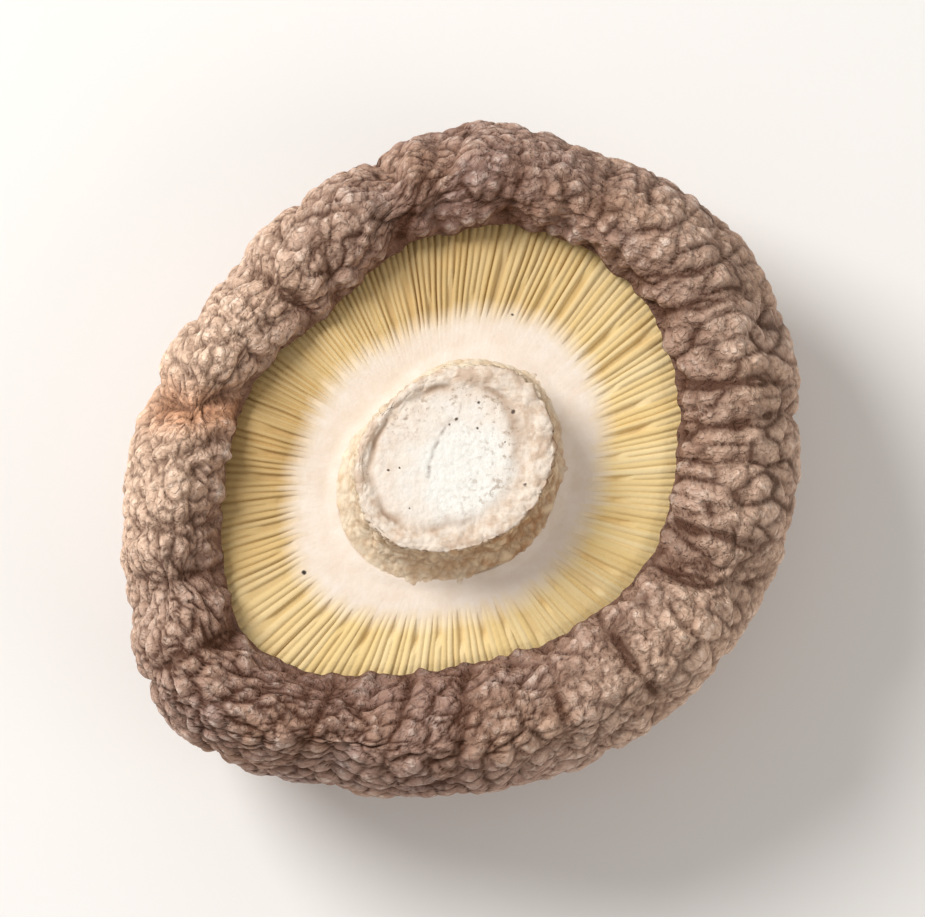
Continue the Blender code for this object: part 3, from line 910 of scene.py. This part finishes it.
def cap_skin():
    """Brown skin: dusty on the puffs, with lighter tops that are partly a painted highlight, purple-brown
    inside the rim, painted shade in the creases and painted light on the sunlit side.
    """
    dust_and_highlight = (0.97, 0.84, 0.74)
    skin = Shading("cap skin", 0.8, 0.15)
    depth, line, crinkled = skin.trait("depth"), skin.trait("line"), skin.trait("crinkled")
    drawn_out = skin.trait("drawn_out", "Vector")
    pebbles = skin.spread(skin.pebbles(0.8, skin.pushed(0.35, 0.6)), 0.22, 0.6)
    finest = skin.maths("MULTIPLY", skin.wrinkles(0.8, 0.1, skin.pushed(0.2, 0.8)), 0.6)
    long_share = skin.spread(skin.trait("folded"), 0, 1, 0.2, 0.6)
    longest = skin.maths("MULTIPLY", skin.wrinkles(1.2, 0.1, drawn_out), long_share)
    wrinkles = skin.maths("ADD", longest, finest)
    hollows = skin.maths("MULTIPLY", skin.maths("ADD", pebbles, wrinkles), crinkled)
    tone = skin.mix(skin.spread(skin.noise(5.5, 4), 0.35, 0.65), (0.42, 0.27, 0.215), (0.54, 0.37, 0.3))
    tone = skin.mix(skin.spread(skin.noise(4.5, 3), 0.5, 0.62, 0, 0.6), tone, (0.4, 0.285, 0.26))
    tone = skin.mix(skin.spread(skin.noise(7, 3), 0.5, 0.62, 0, 0.45), tone, (0.55, 0.33, 0.21))
    tone = skin.mix(skin.maths("MULTIPLY", skin.trait("inner_face"), 0.6), tone, (0.4, 0.25, 0.21))
    # Painted light: the skin is lightened on the side the lamp falls on
    sunlit = skin.trait("sunlit")
    tone = skin.mix(skin.maths("MULTIPLY", sunlit, 0.75), tone, (1.0, 0.73, 0.55))
    tone = skin.mix(skin.maths("MULTIPLY", skin.trait("scorch"), 0.8), tone, (0.86, 0.43, 0.23))
    tone = skin.mix(skin.spread(skin.noise(0.45, 3, 0.6), 0.52, 0.68, 0, 0.4), tone, (0.36, 0.2, 0.14))
    dust = skin.spread(skin.noise(0.9, 5, 0.7), 0.45, 0.62)
    tops = skin.spread(depth, 0.3, 0.05)
    tone = skin.mix(skin.maths("MULTIPLY", skin.maths("MULTIPLY", dust, tops), 0.72), tone, dust_and_highlight)
    # Lighter pebble tops, partly worn skin and partly a painted highlight
    not_deep = skin.spread(depth, 0.7, 0.2, 0, 0.3)
    pebble_tops = skin.maths("MULTIPLY", skin.spread(pebbles, 0.5, 0), not_deep)
    tone = skin.mix(pebble_tops, tone, dust_and_highlight)
    # Painted shade in the fine hollows between the pebbles and along the wrinkles
    tone = skin.mix(skin.spread(hollows, 0.6, 2.0, 0, 0.4), tone, (0.24, 0.11, 0.065))
    # Painted shade in the deeper creases, weaker on the sunlit side
    shaded = skin.spread(sunlit, 0.2, 1.4, 1, 0.6)
    deep = skin.maths("MULTIPLY", skin.spread(depth, 0.25, 1.1, 0, 0.78), shaded)
    tone = skin.mix(deep, tone, (0.15, 0.065, 0.035))
    # A darker band along the lip, partly the skin's own brown and partly painted shade where it curls under
    # toward the gills
    tone = skin.mix(skin.maths("MULTIPLY", skin.trait("lip"), 0.85), tone, (0.14, 0.065, 0.04))
    # Painted shade along the narrow bottoms of the creases, softer on the sunlit side
    softened = skin.spread(sunlit, 0.2, 1.4, 1, 0.8)
    drawn = skin.maths("MULTIPLY", skin.spread(line, 0.15, 0.65, 0, 0.9), softened)
    tone = skin.mix(drawn, tone, (0.07, 0.025, 0.012))
    return skin.finish(tone, [(skin.maths("MULTIPLY", hollows, -1.0), 0.14), (skin.noise(0.22, 3), 0.07)])


def gill_edge():
    """Yellow blades with painted shade darkening the gaps between them and the blades the rim shades, pale
    where they sink into the flare round the stem.
    """
    gill = Shading("gill edge", 0.7)
    edge = gill.trait("edge")
    blade = gill.mix(gill.trait("tint"), (0.86, 0.645, 0.29), (0.91, 0.735, 0.41))
    # Painted shade: the blades are darker where the rim shades them
    blade = gill.mix(gill.maths("MULTIPLY", gill.trait("browned_and_shaded"), 0.8), blade, (0.52, 0.35, 0.14))
    blade = gill.mix(gill.spread(gill.noise(3.5, 3), 0.5, 0.75, 0, 0.4), blade, (0.74, 0.48, 0.18))
    # Painted shade in the gaps between the blades, darker still where the rim shades them
    gap = gill.mix(gill.trait("browned_and_shaded"), (0.72, 0.49, 0.2), (0.45, 0.26, 0.09))
    tone = gill.mix(gill.spread(edge, 0.0, 0.8), gap, blade)
    flare = gill.mix(gill.spread(gill.noise(1.5, 4), 0.35, 0.65), (0.83, 0.71, 0.6), (0.88, 0.785, 0.695))
    tone = gill.mix(gill.trait("pale"), tone, flare)
    tone = gill.mix(gill.specks(FLARE_SPECKS, FLARE_HEIGHT), tone, (0.02, 0.015, 0.01))
    return gill.finish(tone, [(gill.noise(0.3, 4), 0.04)])


def stem_flesh():
    """White flesh on the cut, a cream ring round it and rough ochre fibres down the flank, browner on the
    side away from the light partly through painted shade.
    """
    flesh = Shading("stem flesh", 0.75)
    shreds = flesh.trait("shreds")
    patches = flesh.spread(flesh.noise(1.2, 5, 0.65), 0.42, 0.6)
    ring = flesh.mix(patches, (0.84, 0.73, 0.62), (0.66, 0.5, 0.38))
    cream = flesh.mix(patches, (0.93, 0.83, 0.67), (0.87, 0.71, 0.5))
    ochre = flesh.mix(patches, (0.93, 0.72, 0.46), (0.56, 0.3, 0.13))
    # Ochre fibres, darker partly through painted shade on the flank's side away from the light
    rough = flesh.mix(flesh.trait("browned_and_shaded"), cream, ochre)
    white = flesh.trait("white")
    cut = flesh.mix(flesh.spread(flesh.noise(0.4, 4), 0.5, 0.75), (0.9, 0.885, 0.84), (0.84, 0.79, 0.72))
    tone = flesh.mix(flesh.trait("flank"), ring, rough)
    mottled = flesh.spread(flesh.noise(0.7, 4), 0.4, 0.65)
    creamy = flesh.mix(mottled, (0.88, 0.79, 0.7), (0.82, 0.69, 0.58))
    tone = flesh.mix(flesh.trait("cut"), tone, creamy)
    whiter = flesh.maths("ADD", white, flesh.spread(flesh.noise(1.4, 4), 0.3, 0.7, -0.3, 0.3))
    whitened = flesh.maths("MULTIPLY", flesh.spread(whiter, 0.1, 0.8), flesh.spread(white, 0, 0.2))
    tone = flesh.mix(whitened, tone, cut)
    # The shreds' crevices darken, partly their own brown and partly painted shade, most on the flank's
    # shaded side
    shaded = flesh.spread(flesh.trait("browned_and_shaded"), 0, 1, 0.15, 0.75)
    shown = flesh.maths("MULTIPLY", flesh.trait("flank"), shaded)
    tone = flesh.mix(flesh.maths("MULTIPLY", shreds, shown), tone, (0.22, 0.11, 0.055))
    grains = flesh.spread(flesh.noise(0.5, 4, 0.6), 0.54, 0.66)
    grit = flesh.maths("MULTIPLY", grains, flesh.trait("grit"))
    tone = flesh.mix(flesh.maths("MULTIPLY", grit, 0.85), tone, (0.36, 0.25, 0.17))
    tone = flesh.mix(flesh.maths("MULTIPLY", flesh.trait("seam"), 0.8), tone, (0.36, 0.22, 0.13))
    tone = flesh.mix(flesh.maths("MULTIPLY", flesh.trait("edge_line"), 0.9), tone, (0.32, 0.18, 0.1))
    tone = flesh.mix(flesh.maths("MULTIPLY", flesh.trait("crack"), 0.7), tone, (0.28, 0.22, 0.18))
    tone = flesh.mix(flesh.specks(CUT_SPECKS, STEM_PROFILE[-1][0]), tone, (0.09, 0.06, 0.045))
    return flesh.finish(tone, [(flesh.noise(0.35, 5, 0.65), 0.1)])


# Stage


def make_stage():
    bpy.ops.mesh.primitive_plane_add(size=4)
    floor = bpy.context.object
    floor.name = "floor"
    paper = Shading("floor paper", 0.9)
    tone = paper.mix(paper.noise(40, 2), (0.86, 0.85, 0.84), (0.88, 0.87, 0.86))
    floor.data.materials.append(paper.finish(tone, [(paper.noise(1.0, 2), 0.01)]))


def make_light(name, place, target, size, power, colour=(1, 1, 1)):
    light = bpy.data.lights.new(name, "AREA")
    light.shape = "DISK"
    light.size = size
    light.energy = power
    light.color = colour
    lamp = bpy.data.objects.new(name, light)
    lamp.location = place
    lamp.rotation_euler = (Vector(target) - Vector(place)).to_track_quat("-Z", "Y").to_euler()
    bpy.context.scene.collection.objects.link(lamp)


def make_lights(middle):
    make_light("key", (-0.39, 0.23, 0.43), middle, 0.32, 3.5, (1, 0.985, 0.96))
    make_light("fill", (0.5, -0.3, 0.45), middle, 0.5, 0.9, (1, 0.94, 0.87))
    world = bpy.data.worlds.new("studio")
    world.use_nodes = True
    world.node_tree.nodes["Background"].inputs["Color"].default_value = (1, 0.97, 0.93, 1)
    world.node_tree.nodes["Background"].inputs["Strength"].default_value = 0.45
    bpy.context.scene.world = world
    bpy.context.scene.view_settings.view_transform = "Standard"


def make_camera(middle, width):
    """Looks down at the photo's angle from half a metre away, with the cap across most of the view."""
    distance = 0.5
    share_of_view = 0.74
    lens = bpy.data.cameras.new("camera")
    lens.sensor_width = 36
    lens.lens = lens.sensor_width * distance * share_of_view / width
    camera = bpy.data.objects.new("camera", lens)
    away = Vector((0, -math.cos(VIEW_ELEVATION), math.sin(VIEW_ELEVATION)))
    camera.location = Vector(middle) + distance * away
    camera.rotation_euler = (QUARTER_TURN - VIEW_ELEVATION, 0, 0)
    bpy.context.scene.collection.objects.link(camera)
    bpy.context.scene.camera = camera


def keep_inside(piece, lowest, highest):
    """Holds a piece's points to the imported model's box."""
    places = np.array([vertex.co for vertex in piece.data.vertices])
    piece.data.vertices.foreach_set("co", np.clip(places, lowest, highest).ravel())


def main():
    cad_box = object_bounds()
    # Without a seed, noise_vector() reads its noise from another place in each run
    noise.seed_set(SEED)
    dressed = (
        (make_cap(), "cap", "cap_skin", cap_skin()),
        (make_gills(), "gills", "gill_edge", gill_edge()),
        (make_stem(), "stem", "stem_flesh", stem_flesh()),
    )
    for piece, node, slot, material in dressed:
        keep_inside(piece, *cad_box)
        piece.data.materials.append(material)
        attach(piece, "root")
        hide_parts(node)
    make_stage()
    lowest, highest = cad_box
    middle = (lowest + highest) / 2
    make_lights(middle)
    make_camera(middle, highest.x - lowest.x)


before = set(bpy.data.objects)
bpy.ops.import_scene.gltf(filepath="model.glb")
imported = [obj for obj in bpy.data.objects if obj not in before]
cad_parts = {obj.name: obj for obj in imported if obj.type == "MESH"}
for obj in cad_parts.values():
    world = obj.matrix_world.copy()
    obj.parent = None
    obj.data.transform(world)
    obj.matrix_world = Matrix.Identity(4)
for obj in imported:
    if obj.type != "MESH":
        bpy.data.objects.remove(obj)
main()
